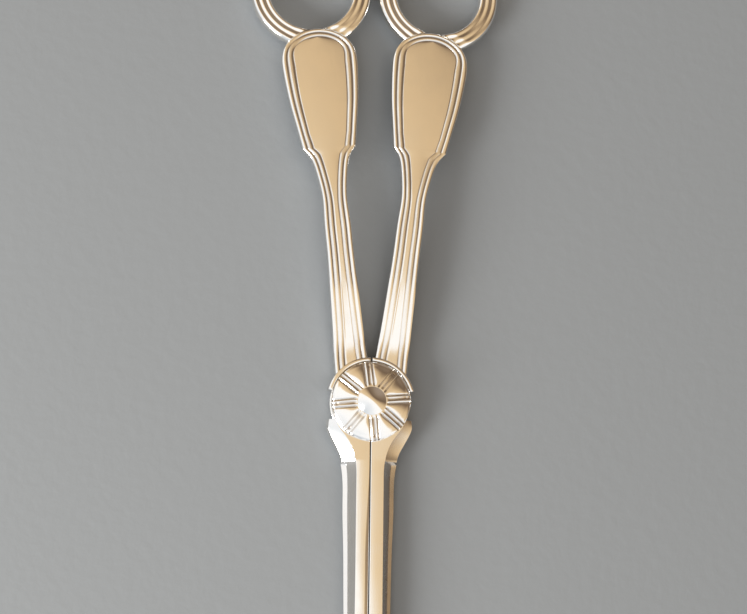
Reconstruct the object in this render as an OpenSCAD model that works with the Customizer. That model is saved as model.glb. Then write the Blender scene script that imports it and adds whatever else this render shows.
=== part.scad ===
// Scissor-action ice tongs: two crossing levers turn on a shoulder screw under a fluted rosette.
// A lever is a reeded finger ring, a fiddle-shaped handle and a bevelled jaw with half of the
// lapped hub. The left handle works the right jaw, whose lap is the front one, and the right
// handle works the left jaw, whose lap is the rear one.
// Origin: on the pivot's axis, at the surface that the tongs lie on. The handles run towards +Y,
// the jaws towards -Y, and the front faces +Z.

/* [Handles] */
// From the pivot line to a finger ring's centre, along the handle
handle_l = 103.7; // [98:0.1:110]
// Lean of each handle away from the middle plane
handle_lean = 6.73; // [6.4:0.01:7.5]
// Sideways step of each handle's axis at the pivot line
handle_step = 3.85; // [3.7:0.05:4.2]
// Half width of the stem where it meets the hub
root_hw = 4.2; // [3.9:0.1:4.3]
// Half width of the stem's middle
stem_hw = 3.3; // [3:0.05:3.8]
// Half width of the neck, the stem's narrowest place
neck_hw = 3.1; // [2.8:0.05:3.6]
// Half width of the fiddle panel at its shoulders
shoulder_hw = 6.6; // [6:0.1:7.2]
// Half width of the fiddle panel at its widest
belly_hw = 9.4; // [9:0.1:10]
// Radius of the arched end of the panel
arch_r = 10.8; // [10.5:0.1:11.5]
// Thickness of the stem behind the neck
stem_t = 3.6; // [3:0.1:3.8]
// Thickness of the fiddle panel
panel_t = 3; // [2.4:0.1:3.4]
// Width of the chamfer along the handle's edges
handle_edge = 0.7; // [0.4:0.1:0.9]
// Height that the stems rise above the hub's middle
stem_rise = 2.7; // [0.8:0.1:2.8]

/* [Finger rings] */
// Inner radius of a finger ring
ring_in_r = 10.3; // [9.8:0.1:11]
// Outer radius of a finger ring
ring_out_r = 15.2; // [14.8:0.1:15.4]
// Thickness of a finger ring over its reeds
ring_t = 3.4; // [3:0.1:4]
// Number of reeds on each face of a ring
ring_reeds = 3; // [2:1:4]
// Height of a reed above the valleys beside it
reed_h = 0.35; // [0.2:0.05:0.6]

/* [Jaws] */
// Length of a jaw, from the pivot to its tip
jaw_l = 80; // [76:1:90]
// Half width of the closed pair across the shoulders
shoulder_w = 10.7; // [10.5:0.1:11]
// Half width of the closed pair along its middle
jaw_w = 5.9; // [5.6:0.05:6.6]
// Width of each jaw's flat top
flat_w = 3.35; // [2.8:0.05:3.8]
// Fall of the bevel round the shoulders
bevel_drop = 0.85; // [0.5:0.05:1.2]
// Taper of the shoulder's outer side over its height
side_draft = 0.45; // [0.3:0.05:0.7]
// Share of a jaw's width outside the flat top that its sloping side takes; the rest is a thin lip
slope_share = 0.62; // [0.4:0.02:0.7]
// Height of the lip's inner edge above the jaw's rear face
lip_h = 0.65; // [0.5:0.05:1.2]
// Gap between the closed jaws
seam = 0.24; // [0.1:0.02:0.5]
// Number of gripping teeth at the end of each jaw
teeth = 9; // [5:1:12]
// Spacing of the gripping teeth
tooth_pitch = 1.9; // [1.5:0.1:2.2]
// Depth of the gripping teeth
tooth_h = 0.6; // [0.3:0.1:0.9]

/* [Hub] */
// Thickness of the closed hub, both laps and the washer together
hub_t = 4; // [3.8:0.1:4.4]
// Radius of a hub lap
hub_r = 9.2; // [9:0.1:9.4]
// Gap between a hub lap and the other lever
hub_gap = 0.25; // [0.2:0.05:0.3]
// Height of the hub's rear face above the surface
hub_lift = 1.6; // [1.5:0.05:2]
// Outer radius of the collar that the handles make around the rosette
collar_r = 10.9; // [10.7:0.1:11.2]
// Angle from +X to the end of the right handle's collar
collar_end = 15; // [13:1:20]
// Half width of the slit between the handles at the collar
slit = 0.25; // [0.15:0.05:0.4]

/* [Rosettes and pivot] */
// Outer radius of both rosettes
rosette_r = 9.75; // [9.6:0.05:10]
// Number of flutes around a rosette
flutes = 8; // [6:1:12]
// Turn of the first rib between flutes from +X
flute_turn = 6; // [0:1:20]
// Radius of the screw's domed button head
button_r = 3.5; // [3:0.1:4]
// Height of the button head
button_h = 1.5; // [1.4:0.1:2.4]
// Radius of the screw's plain shoulder, which the laps turn on
shoulder_r = 2.1; // [1.8:0.1:2.4]
// Radius of the screw's threaded end
thread_r = 1.5; // [1.2:0.1:1.6]
// Radius of the round nut
nut_r = 3; // [2.8:0.1:3.1]

/* [Hidden] */
$fn = 64;
// Running clearance of the rear lap on the screw, and seating clearance of parts that stay put
run_fit = 0.04;
seat_fit = 0.02;
washer_t = 0.1;
hub_mid = hub_lift + hub_t / 2;
hub_top = hub_lift + hub_t;
front_lap_z = hub_mid + washer_t / 2;
rear_lap_z = hub_mid - washer_t / 2 - seat_fit;

// The handle's bow: flat at the hub, then a quick bend up, an even curve over a crest at the neck
// and down again until the ring lies on the surface.
bow_foot = 11;
bow_bend = 15;
bow_crest = 48;
bow_slope = 2 * stem_rise / (bow_crest - bow_foot);
ring_mid_r = (ring_in_r + ring_out_r) / 2;
// A ring's lowest line is this far outside the middle of its band.
ring_foot_out = 1.1;
crest_z = hub_mid + stem_rise;
ring_fall_l = (handle_l - bow_crest) / 2 + ring_mid_r + ring_foot_out;
ring_tilt = atan((crest_z - ring_t / 2) / ring_fall_l);
bow_k = tan(ring_tilt) / (2 * (handle_l - bow_crest));
function soft(u) = let (v = min(1, max(0, u))) v * v * (3 - 2 * v);
function bow_rise(t) = t < bow_bend
    ? pow(max(0, t - bow_foot), 2) / (2 * (bow_bend - bow_foot))
    : (bow_crest - bow_foot) / 2 - pow(max(0, bow_crest - t), 2) / (2 * (bow_crest - bow_bend));
function handle_z(t) = hub_mid + bow_slope * bow_rise(t) - bow_k * pow(max(0, t - bow_crest), 2);
// Where the handle starts to thin from the neck to the panel, and over what length
thinning_start = 50;
thinning_l = 14;
function handle_half_t(t) = hub_t / 2
    - (hub_t - stem_t) / 2 * soft((t - bow_foot) / (bow_crest - bow_foot))
    - (stem_t - panel_t) / 2 * soft((t - thinning_start) / thinning_l);

// Half width of the handle at distances along it, up to where the arch starts
arch_top = handle_l - ring_in_r + 0.1;
arch_mid = arch_top - arch_r;
handle_side = [
    [7, root_hw], [11, root_hw - 0.1], [13, 4], [15, 3.9], [20.5, 3.7], [26, 3.55], [32, 3.4],
    [38, stem_hw], [45, 3.25], [50.7, neck_hw], [53.7, 3.4], [56.2, 3.8], [58.7, 4.3], [61.2, 5.3],
    [62.9, shoulder_hw], [68.7, 7.55], [73.7, 8.4], [78.7, 9], [83, belly_hw - 0.05],
    [85.2, belly_hw], [87, 9.2], [88.9, 8.55],
];
arch_steps = [for (a = [40, 31, 22, 14, 7]) [arch_mid + arch_r * cos(a), arch_r * sin(a)]];
handle_outline = concat(handle_side, arch_steps);

// Half width of the closed jaws, and the place of the bevel's upper edge, from the hub to the tip
jaw_outline = [
    [-4.4, shoulder_w - 0.15, 8.6], [-6.2, shoulder_w, 7.8], [-8.6, 9.75, 6.0], [-10.8, 8.5, 4.7],
    [-13, 7.4, 3.9], [-14.4, 7.03, 3.62], [-15.2, 6.85, 3.5],
    [-19, jaw_w + 0.45, flat_w], [-26, jaw_w + 0.35, flat_w],
    [-34, jaw_w + 0.1, flat_w], [-44, jaw_w - 0.1, flat_w], [-55, jaw_w - 0.3, flat_w],
    [-64, jaw_w - 0.6, 3.2], [-70, jaw_w - 1, 2.9], [-74, jaw_w - 1.6, 2.4],
    [-77, jaw_w - 2.4, 1.9], [1.2 - jaw_l, jaw_w - 3.2, 1.4], [-jaw_l, jaw_w - 4.2, 1.0],
];
// Both faces close in by the taper between half way along the jaw and its tip
tip_taper = 0.45;
function jaw_taper(y) = tip_taper * soft((-y - jaw_l / 2) / (jaw_l / 2));
function jaw_top(y) = hub_top - jaw_taper(y);
function jaw_bottom(y) = hub_lift + jaw_taper(y);
// Chamfer of a jaw's inner edge. The left jaw's is wider, and fades out before the teeth.
plain_edge = 0.12;
wider_edge = 0.78;
function inner_edge(y, wide) = plain_edge
    + (wide ? wider_edge * soft((-y - 14) / 24) * (1 - soft((-y - 54) / 10)) : 0);

// A solid through a row of sections that all have the same number of points
module loft(sections) {
    n = len(sections[0]);
    last = len(sections) - 1;
    points = [for (s = sections) for (p = s) p];
    sides = [for (i = [0 : last - 1]) for (j = [0 : n - 1])
        let (a = i * n + j, b = i * n + (j + 1) % n) each [[a, b, b + n], [a, b + n, a + n]]];
    ends = [[for (j = [n - 1 : -1 : 0]) j], [for (j = [0 : n - 1]) last * n + j]];
    polyhedron(points, concat(sides, ends), convexity = 6);
}

// Puts a handle, drawn along +Y from its own pivot line, on the left or the right
module on_side(left) {
    mirror([left ? 0 : 1, 0, 0]) translate([-handle_step, 0, 0]) rotate([0, 0, handle_lean])
        children();
}

// One section across the handle: a flat bar with chamfered edges
function handle_section(t, hw) = let (
    z = handle_z(t), h = handle_half_t(t), e = min(handle_edge, hw / 2)
) [
    [hw - e, t, z - h], [hw, t, z - h + e], [hw, t, z + h - e], [hw - e, t, z + h],
    [e - hw, t, z + h], [-hw, t, z + h - e], [-hw, t, z - h + e], [e - hw, t, z - h],
];

// The tongue of a hub lap that a handle is brazed onto
tongue_w = 4.5;
tongue_t = 0.9;
tongue_end = 15;
module tongue(left, z) {
    on_side(left) translate([-tongue_w / 2, 7, z - tongue_t / 2])
        cube([tongue_w, tongue_end - 7, tongue_t]);
}

// The space that the other lever's lap turns in, on the front or the rear half of the hub
module other_lap_space(front_is_own) {
    translate([0, 0, front_is_own ? -1 : rear_lap_z])
        cylinder(r = hub_r + hub_gap, h = front_is_own ? front_lap_z + 1 : hub_top, $fn = 96);
}

module collar(left) {
    mirror([left ? 1 : 0, 0, 0]) translate([0, 0, hub_lift]) intersection() {
        difference() {
            cylinder(r = collar_r, h = hub_t, $fn = 96);
            translate([0, 0, -1]) cylinder(r = hub_r - 1, h = hub_t + 2, $fn = 96);
        }
        linear_extrude(hub_t) polygon([
            [slit, 5], [slit, 2 * collar_r], [2 * collar_r, 2 * collar_r],
            [2 * collar_r * cos(collar_end), 2 * collar_r * sin(collar_end)],
            [5 * cos(collar_end), 5 * sin(collar_end)],
        ]);
    }
}

module handle(left) {
    color([0.86, 0.83, 0.78]) difference() {
        union() {
            intersection() {
                on_side(left) loft([for (s = handle_outline) handle_section(s[0], s[1])]);
                mirror([left ? 1 : 0, 0, 0]) translate([slit, 0, -1]) cube([60, 120, 20]);
            }
            collar(left);
        }
        other_lap_space(left);
        translate([0, 0, -1]) cylinder(r = hub_r, h = hub_top + 2, $fn = 96);
        tongue(left, left ? (front_lap_z + hub_top) / 2 : (hub_lift + rear_lap_z) / 2);
    }
}

// Height of the reeded ring's face above its middle, from u = -1 at the inside to 1 at the outside
function ring_face(u) = (ring_t / 2 - reed_h) * sqrt(max(0, 1 - pow(abs(u), 7)))
    + reed_h * abs(cos(90 * ring_reeds * (u + 1) + 90));

face_steps = 18;
module finger_ring(left) {
    half_w = (ring_out_r - ring_in_r) / 2;
    us = [for (i = [0 : face_steps]) -cos(180 * i / face_steps)];
    face = [for (u = us) [ring_mid_r + half_w * u, ring_face(u)]];
    back = [for (i = [face_steps - 1 : -1 : 1]) [face[i][0], -face[i][1]]];
    color([0.86, 0.83, 0.78]) on_side(left) difference() {
        translate([0, handle_l, handle_z(handle_l)]) rotate([-ring_tilt, 0, 0])
            rotate_extrude($fn = 96) polygon(concat(face, back));
        translate([0, 0, -5]) linear_extrude(20) polygon(concat(
            [for (s = handle_outline) [s[1], s[0]]],
            [for (i = [len(handle_outline) - 1 : -1 : 0]) [-handle_outline[i][1], handle_outline[i][0]]]
        ));
    }
}

// One section across the right jaw, from the meeting face outwards. The shoulder has a bevel that
// deepens on the way to the shoulder's end; there the side opens at once, in a short step, into a
// steep slope from the flat top down to a thin lip.
lip_edge = 0.35;
shoulder_start = 4.4;
shoulder_end = 14.4;
step_l = 0.8;
early_fall = 0.5;
function jaw_section(y, w, flat, wide) = let (
    top = jaw_top(y), bottom = jaw_bottom(y), c = inner_edge(y, wide),
    u = soft((-y - shoulder_end) / step_l),
    v = soft((-y - shoulder_start) / (shoulder_end - shoulder_start)),
    fall = early_fall * v + (1 - early_fall) * u,
    foot_x = flat + slope_share * (w - flat) * u,
    foot_z = top + (bottom + lip_h - top) * u,
    rim_x = w - side_draft * (1 - fall),
    rim_z = (top - bevel_drop) * (1 - fall) + (bottom + lip_edge + 0.02) * fall
) [
    [seam / 2, y, bottom], [seam / 2, y, top - 0.8 * c], [seam / 2 + c, y, top],
    [flat - 0.01, y, top], [foot_x, y, foot_z], [rim_x, y, rim_z],
    [w, y, bottom + lip_edge], [w - lip_edge, y, bottom],
];

module hub_lap(z0, z1, bore_r) {
    difference() {
        translate([0, 0, z0]) cylinder(r = hub_r, h = z1 - z0, $fn = 96);
        translate([0, 0, z0 - 1]) cylinder(r = bore_r, h = z1 - z0 + 2);
    }
}

module jaw_blade(left) {
    difference() {
        mirror([left ? 1 : 0, 0, 0]) difference() {
            loft([for (s = jaw_outline) jaw_section(s[0], s[1], s[2], left)]);
            for (i = [0 : teeth - 1])
                translate([seam / 2, 4 - jaw_l + (i + (left ? 0.5 : 0)) * tooth_pitch, -1])
                    rotate([0, 0, 45])
                        translate([-tooth_h / sqrt(2), -tooth_h / sqrt(2), 0])
                            cube([tooth_h * sqrt(2), tooth_h * sqrt(2), 20]);
        }
        other_lap_space(!left);
        translate([0, 0, -1]) cylinder(r = hub_r - 1, h = 20, $fn = 96);
    }
}

pin_r = 0.6;
pin_place = 6.2;
module at_pins() {
    for (side = [-1, 1]) translate([side * pin_place, 0, 0]) children();
}

module right_jaw() {
    color([0.84, 0.8, 0.74]) difference() {
        union() {
            hub_lap(front_lap_z, hub_top, shoulder_r + seat_fit);
            jaw_blade(false);
            difference() {
                tongue(true, (front_lap_z + hub_top) / 2);
                translate([0, 0, -1]) cylinder(r = hub_r - 0.5, h = 20);
            }
        }
        translate([0, 0, hub_top - 1]) at_pins() cylinder(r = pin_r + 0.01, h = 2, $fn = 24);
    }
}

module left_jaw() {
    color([0.84, 0.8, 0.74]) difference() {
        union() {
            hub_lap(hub_lift, rear_lap_z, shoulder_r + run_fit);
            jaw_blade(true);
            difference() {
                tongue(false, (hub_lift + rear_lap_z) / 2);
                translate([0, 0, -1]) cylinder(r = hub_r - 0.5, h = 20);
            }
        }
        translate([0, 0, -1]) cylinder(r = nut_r + 0.2, h = hub_lift + 1.4);
        at_pins() cylinder(r = pin_r + 0.01, h = hub_lift + 1, $fn = 24);
    }
}

// Shallow flutes that fall towards the rim of a rosette drawn with its base at z = 0
flute_r = 2.6;
flute_start = 4.6;
flute_fall = 7;
flute_lift = 2.35;
module flute_cuts(crown) {
    for (i = [0 : flutes - 1])
        rotate([0, 0, flute_turn + (i + 0.5) * 360 / flutes])
            translate([flute_start, 0, crown + flute_lift])
                rotate([0, 90 + flute_fall, 0]) cylinder(r = flute_r, h = 12, $fn = 48);
}

module front_rosette() {
    color([0.9, 0.88, 0.84]) difference() {
        translate([0, 0, hub_top]) difference() {
            rotate_extrude($fn = 96) polygon([
                [shoulder_r + seat_fit, 0], [hub_r, 0], [hub_r, 0.1], [rosette_r - 0.15, 0.1],
                [rosette_r, 0.3], [rosette_r, 0.75], [rosette_r - 0.3, 1.05], [8.4, 1.5],
                [7, 1.86], [5.6, 2.12], [4.4, 2.26], [button_r + 0.05, 2.3],
                [button_r + 0.05, 2], [shoulder_r + seat_fit, 2],
            ]);
            flute_cuts(2.3);
        }
        translate([0, 0, hub_top - 0.1]) at_pins() cylinder(r = pin_r + 0.01, h = 1.3, $fn = 24);
    }
}

module rear_rosette() {
    color([0.86, 0.84, 0.8]) difference() {
        translate([0, 0, hub_lift]) mirror([0, 0, 1]) rotate_extrude($fn = 96) polygon([
            [nut_r + 0.3, 0], [hub_r, 0], [hub_r, 0.1], [rosette_r - 0.15, 0.1],
            [rosette_r, 0.25], [rosette_r, 0.5], [rosette_r - 0.3, 0.7], [8.2, 0.92],
            [6.6, 1.06], [4.8, 1.15], [nut_r + 0.5, 1.15], [nut_r + 0.3, 1],
        ]);
        translate([0, 0, hub_lift - 0.6]) at_pins() cylinder(r = pin_r + 0.01, h = 1, $fn = 24);
    }
}

module front_rosette_pins() {
    color([0.7, 0.62, 0.45]) translate([0, 0, hub_top - 1]) at_pins()
        cylinder(r = pin_r, h = 2.2, $fn = 24);
}

module rear_rosette_pins() {
    color([0.7, 0.62, 0.45]) translate([0, 0, hub_lift - 0.6]) at_pins()
        cylinder(r = pin_r, h = 1.6, $fn = 24);
}

nut_h = hub_lift - 0.1;
nut_floor = 0.4;
seat_z = hub_top + 2;
module pivot_screw() {
    dome_r = (pow(button_r, 2) + pow(button_h, 2)) / (2 * button_h);
    color([0.92, 0.9, 0.86]) union() {
        intersection() {
            translate([0, 0, seat_z + button_h - dome_r]) sphere(r = dome_r, $fn = 96);
            translate([0, 0, seat_z]) cylinder(r = button_r, h = button_h + 1);
        }
        translate([0, 0, nut_h]) cylinder(r = shoulder_r, h = seat_z - nut_h);
        translate([0, 0, nut_floor]) cylinder(r = thread_r, h = nut_h - nut_floor);
    }
}

spanner_hole_r = 0.35;
spanner_hole_place = 2.2;
module pivot_nut() {
    color([0.8, 0.78, 0.72]) difference() {
        rotate_extrude() polygon([
            [0, 0], [nut_r - 0.2, 0], [nut_r, 0.2], [nut_r, nut_h], [0, nut_h],
        ]);
        translate([0, 0, nut_floor]) cylinder(r = thread_r + seat_fit, h = nut_h);
        for (side = [-1, 1]) translate([0, side * spanner_hole_place, -1])
            cylinder(r = spanner_hole_r, h = 1.4, $fn = 24);
    }
}

module spring_washer() {
    color([0.6, 0.58, 0.52]) rotate_extrude() polygon([
        [shoulder_r + 0.15, nut_h + 0.28], [nut_r - 0.05, nut_h], [nut_r - 0.05, nut_h + 0.2],
        [shoulder_r + 0.15, nut_h + 0.47],
    ]);
}

module hub_washer() {
    color([0.7, 0.62, 0.45]) translate([0, 0, front_lap_z - washer_t]) difference() {
        cylinder(r = hub_r - 0.7, h = washer_t);
        translate([0, 0, -1]) cylinder(r = shoulder_r + 0.1, h = washer_t + 2);
    }
}

finger_ring(true);  // left_finger_ring
handle(true);  // left_handle
right_jaw();
finger_ring(false);  // right_finger_ring
handle(false);  // right_handle
left_jaw();
front_rosette();
front_rosette_pins();
rear_rosette();
rear_rosette_pins();
pivot_screw();
pivot_nut();
spring_washer();
hub_washer();
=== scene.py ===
import math

import bmesh
import bpy
import numpy as np
from mathutils import Matrix, Vector


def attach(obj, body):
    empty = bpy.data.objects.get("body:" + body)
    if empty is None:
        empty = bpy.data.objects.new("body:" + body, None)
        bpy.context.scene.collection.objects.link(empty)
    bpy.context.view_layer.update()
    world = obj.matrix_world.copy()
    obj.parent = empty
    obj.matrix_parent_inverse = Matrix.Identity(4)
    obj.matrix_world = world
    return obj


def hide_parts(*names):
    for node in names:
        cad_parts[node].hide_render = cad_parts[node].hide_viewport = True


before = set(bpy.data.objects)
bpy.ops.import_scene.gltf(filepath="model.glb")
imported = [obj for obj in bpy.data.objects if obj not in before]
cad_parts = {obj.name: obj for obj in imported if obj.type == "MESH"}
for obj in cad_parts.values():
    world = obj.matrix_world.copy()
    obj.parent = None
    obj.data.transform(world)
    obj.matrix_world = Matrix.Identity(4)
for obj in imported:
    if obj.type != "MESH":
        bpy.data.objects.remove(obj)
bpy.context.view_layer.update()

# Everything below is drawn in millimetres and scaled to metres when a mesh is made.
MM = 0.001
# Points that fall in one cell of this size are welded.
WELD = 0.0002

# The tongs' own sizes, the same as the part's
HANDLE_L = 103.7
HANDLE_LEAN = math.radians(6.73)
HANDLE_STEP = 3.85
STEM_T = 3.6
PANEL_T = 3.0
STEM_RISE = 2.7
RING_IN_R = 10.3
RING_OUT_R = 15.2
RING_T = 3.4
REED_H = 0.22
ARCH_R = 10.8
JAW_L = 80.0
JAW_W = 5.9
SLOPE_SHARE = 0.62
LIP_H = 0.65
SEAM = 0.24
TEETH = 9
TOOTH_PITCH = 1.9
TOOTH_H = 0.6
HUB_T = 4.0
HUB_R = 9.2
HUB_GAP = 0.25
HUB_LIFT = 1.6
COLLAR_R = 10.9
COLLAR_END = math.radians(15)
SLIT = 0.25
ROSETTE_R = 9.75
FLUTES = 8
FLUTE_TURN = math.radians(6)
BUTTON_R = 3.5
BUTTON_H = 1.5
SHOULDER_R = 2.1
THREAD_R = 1.5
NUT_R = 3.0
SEAT_FIT = 0.02
RUN_FIT = 0.04
WASHER_T = 0.1

# Sizes that follow from them
HUB_MID = HUB_LIFT + HUB_T / 2
HUB_TOP = HUB_LIFT + HUB_T
FRONT_LAP_Z = HUB_MID + WASHER_T / 2
REAR_LAP_Z = HUB_MID - WASHER_T / 2 - SEAT_FIT
NUT_H = HUB_LIFT - 0.1
NUT_FLOOR = 0.4
SEAT_Z = HUB_TOP + 2
WELL_R = BUTTON_R + 0.05
BOW_FOOT = 11.0
BOW_BEND = 15.0
BOW_CREST = 48.0
THINNING_START = 50.0
THINNING_L = 14.0
BOW_SLOPE = 2 * STEM_RISE / (BOW_CREST - BOW_FOOT)
RING_MID_R = (RING_IN_R + RING_OUT_R) / 2
RING_FOOT_OUT = 1.1
CREST_Z = HUB_MID + STEM_RISE
RING_FALL_L = (HANDLE_L - BOW_CREST) / 2 + RING_MID_R + RING_FOOT_OUT
RING_TILT = math.atan((CREST_Z - RING_T / 2) / RING_FALL_L)
BOW_K = math.tan(RING_TILT) / (2 * (HANDLE_L - BOW_CREST))
ARCH_TOP = HANDLE_L - RING_IN_R + 0.1
ARCH_MID = ARCH_TOP - ARCH_R


def soft(u):
    """A smooth step from 0 to 1"""
    v = np.clip(u, 0.0, 1.0)
    return v * v * (3 - 2 * v)


def handle_z(t):
    """Height of the handle's middle at a distance along it"""
    foot = np.maximum(0, t - BOW_FOOT) ** 2 / (2 * (BOW_BEND - BOW_FOOT))
    short = np.maximum(0, BOW_CREST - t) ** 2 / (2 * (BOW_CREST - BOW_BEND))
    rise = np.where(t < BOW_BEND, foot, (BOW_CREST - BOW_FOOT) / 2 - short)
    return HUB_MID + BOW_SLOPE * rise - BOW_K * np.maximum(0, t - BOW_CREST) ** 2


def handle_half_t(t):
    """Half of the handle's thickness at a distance along it"""
    stem = (HUB_T - STEM_T) / 2 * soft((t - BOW_FOOT) / (BOW_CREST - BOW_FOOT))
    return HUB_T / 2 - stem - (STEM_T - PANEL_T) / 2 * soft((t - THINNING_START) / THINNING_L)


def spline(knots, values, at):
    """A natural cubic spline through values at knots; values may have several columns"""
    x = np.asarray(knots, float)
    y = np.asarray(values, float)
    flat = y.ndim == 1
    if flat:
        y = y[:, None]
    n = len(x)
    h = np.diff(x)
    a = np.eye(n)
    b = np.zeros_like(y)
    for i in range(1, n - 1):
        a[i, i - 1] = h[i - 1]
        a[i, i] = 2 * (h[i - 1] + h[i])
        a[i, i + 1] = h[i]
        b[i] = 6 * ((y[i + 1] - y[i]) / h[i] - (y[i] - y[i - 1]) / h[i - 1])
    m = np.linalg.solve(a, b)
    at = np.asarray(at, float)
    k = np.clip(np.searchsorted(x, at) - 1, 0, n - 2)
    d = (at - x[k])[:, None]
    hk = h[k][:, None]
    slope = (y[k + 1] - y[k]) / hk - hk * (2 * m[k] + m[k + 1]) / 6
    out = y[k] + slope * d + m[k] * d ** 2 / 2 + (m[k + 1] - m[k]) / (6 * hk) * d ** 3
    return out[:, 0] if flat else out


def face_outwards(mesh):
    """Turns every face of closed shells to look outwards"""
    work = bmesh.new()
    work.from_mesh(mesh)
    bmesh.ops.recalc_face_normals(work, faces=work.faces)
    work.to_mesh(mesh)
    work.free()


class Shape:
    """Points, faces and a tarnish-and-painted-shade value at each point, gathered before they
    become one mesh
    """

    def __init__(self):
        self.points = []
        self.faces = []
        self.dirt_and_shade = []
        self.count = 0

    def add(self, points, faces, dirt_and_shade=None):
        """Adds points and the faces between them"""
        points = np.asarray(points, float).reshape(-1, 3)
        self.points.append(points)
        clean = np.zeros(len(points))
        self.dirt_and_shade.append(clean if dirt_and_shade is None else np.asarray(dirt_and_shade, float).ravel())
        self.faces.extend([tuple(int(i) + self.count for i in f) for f in faces])
        self.count += len(points)

    def grid(self, grid, dirt_and_shade=None, loop_i=False, loop_j=False, cap_i=False):
        """Quads through a grid of points; if asked, closed round either way or given flat ends"""
        n, m = grid.shape[:2]
        rows = n if loop_i else n - 1
        cols = m if loop_j else m - 1
        faces = []
        for i in range(rows):
            k = (i + 1) % n
            for j in range(cols):
                c = (j + 1) % m
                faces.append((i * m + j, i * m + c, k * m + c, k * m + j))
        if cap_i:
            faces.append(tuple(range(m - 1, -1, -1)))
            faces.append(tuple((n - 1) * m + j for j in range(m)))
        self.add(grid, faces, dirt_and_shade)

    def move(self, function):
        """Moves every point gathered so far"""
        self.points = [function(p) for p in self.points]

    def mirrored(self):
        """The same shape on the other side of the middle plane"""
        other = Shape()
        other.points = [p * np.array([-1.0, 1.0, 1.0]) for p in self.points]
        other.faces = [tuple(reversed(f)) for f in self.faces]
        other.dirt_and_shade = list(self.dirt_and_shade)
        other.count = self.count
        return other

    def join(self, other):
        """Takes in another shape"""
        shift = self.count
        self.points.extend(other.points)
        self.dirt_and_shade.extend(other.dirt_and_shade)
        self.faces.extend([tuple(i + shift for i in f) for f in other.faces])
        self.count += other.count

    def mesh(self, name, sharp=38):
        """One mesh in metres, with coincident points welded and collapsed faces left out"""
        points = np.concatenate(self.points)
        dirt_and_shade = np.concatenate(self.dirt_and_shade)
        keys = np.round(points / WELD).astype(np.int64)
        _, first, inverse = np.unique(keys, axis=0, return_index=True, return_inverse=True)
        inverse = inverse.ravel()
        faces = []
        for f in self.faces:
            ring = [int(inverse[i]) for i in f]
            ring = [v for v, w in zip(ring, ring[1:] + ring[:1]) if v != w]
            if len(set(ring)) == len(ring) and len(ring) > 2:
                faces.append(ring)
        mesh = bpy.data.meshes.new(name)
        mesh.from_pydata((points[first] * MM).tolist(), [], faces)
        # Each point's tarnish and painted shade, which the metal material reads to darken its
        # colour
        tarnish_and_shade = mesh.attributes.new("tarnish_and_shade", "FLOAT", "POINT")
        tarnish_and_shade.data.foreach_set("value", np.clip(dirt_and_shade[first], 0, 1).astype(np.float32))
        mesh.update()
        mesh.validate()
        face_outwards(mesh)
        mesh.shade_smooth()
        mesh.set_sharp_from_angle(angle=math.radians(sharp))
        return mesh


def place(mesh, body, material, slot, *nodes):
    """A piece of the tongs that rides on a body and stands for CAD nodes"""
    piece = bpy.data.objects.new(mesh.name, mesh)
    bpy.context.scene.collection.objects.link(piece)
    mesh.materials.clear()
    mesh.materials.append(material)
    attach(piece, body)
    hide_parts(*nodes)
    return piece


def lathe(profile, steps=128):
    """A closed profile of (radius, height) turned round the pivot's axis"""
    profile = np.asarray(profile, float)
    turn = np.linspace(0, 2 * math.pi, steps, endpoint=False)
    grid = np.empty((steps, len(profile), 3))
    grid[:, :, 0] = np.cos(turn)[:, None] * profile[None, :, 0]
    grid[:, :, 1] = np.sin(turn)[:, None] * profile[None, :, 0]
    grid[:, :, 2] = profile[None, :, 1]
    shape = Shape()
    shape.grid(grid, loop_i=True, loop_j=True)
    return shape


def rounded(corners, radii, steps=4):
    """A polygon with its corners rounded; every corner becomes the same number of points"""
    corners = [np.array(c, float) for c in corners]
    out = []
    n = len(corners)
    for i in range(n):
        p = corners[i]
        back = corners[i - 1] - p
        on = corners[(i + 1) % n] - p
        lb = np.linalg.norm(back)
        lo = np.linalg.norm(on)
        r = min(radii[i], 0.45 * lb, 0.45 * lo)
        a = p + back / max(lb, 1e-9) * r
        b = p + on / max(lo, 1e-9) * r
        for k in range(steps):
            u = k / (steps - 1)
            out.append((1 - u) ** 2 * a + 2 * u * (1 - u) * p + u * u * b)
    return np.array(out)


# ---- Camera and light -------------------------------------------------------------------------

def add_camera():
    """A long lens above the tongs, a little to their left and towards the jaws"""
    data = bpy.data.cameras.new("camera")
    data.sensor_width = 36
    data.lens = 120.3
    data.clip_start = 0.01
    data.clip_end = 10
    camera = bpy.data.objects.new("camera", data)
    bpy.context.scene.collection.objects.link(camera)
    where = Vector((-0.0746, -0.0669, 0.6056))
    aim = Vector((0.00033, 0.02331, 0.0056))
    look = (aim - where).normalized()
    right = look.cross(Vector((0, 1, 0))).normalized()
    up = right.cross(look)
    roll = math.radians(0.65)
    across = right * math.cos(roll) + up * math.sin(roll)
    along = up * math.cos(roll) - right * math.sin(roll)
    turn = Matrix((across, along, -look)).transposed()
    camera.matrix_world = Matrix.Translation(where) @ turn.to_4x4()
    bpy.context.scene.camera = camera


def add_light(name, at, aim, width, height, radiance, colour):
    """A soft rectangle of light, given by how bright its face is"""
    data = bpy.data.lights.new(name, "AREA")
    data.shape = "RECTANGLE"
    data.size = width
    data.size_y = height
    data.energy = radiance * math.pi * width * height
    data.color = colour
    lamp = bpy.data.objects.new(name, data)
    bpy.context.scene.collection.objects.link(lamp)
    lamp.location = at
    direction = Vector(aim) - Vector(at)
    lamp.rotation_mode = "QUATERNION"
    lamp.rotation_quaternion = direction.to_track_quat("-Z", "Y")


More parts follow.
